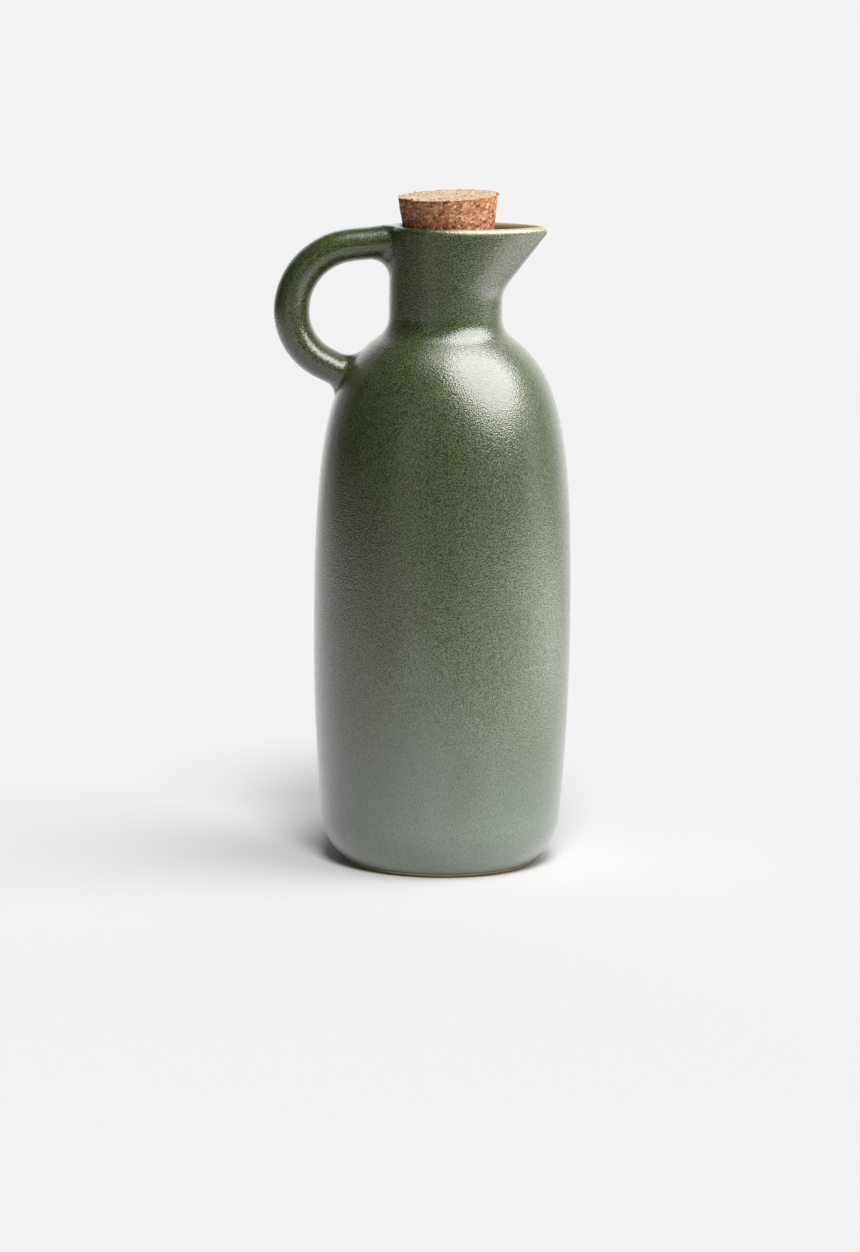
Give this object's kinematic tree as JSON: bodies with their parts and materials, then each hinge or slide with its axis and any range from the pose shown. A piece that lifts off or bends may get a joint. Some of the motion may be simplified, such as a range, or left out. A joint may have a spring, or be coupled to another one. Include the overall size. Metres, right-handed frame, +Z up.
{
  "type": "stoneware oil bottle",
  "caption": "Glazed stoneware oil bottle with a loop handle, a pointed pouring spout and a tapered cork resting in its mouth.",
  "frame": {"origin": "centre of the foot on the surface it stands on", "axes": "+Z up along the body's axis, the spout points to +X and the handle to -X, XZ is the bottle's plane of symmetry"},
  "size_m": [0.0889, 0.0764, 0.2001],
  "materials": {
    "stoneware_glaze": "satin moss green glaze, greyer towards the foot",
    "cork": "raw agglomerated cork"
  },
  "bodies": {
    "root": {"bottle": "stoneware_glaze", "cork_stopper": "cork"}
  },
  "joints": []
}
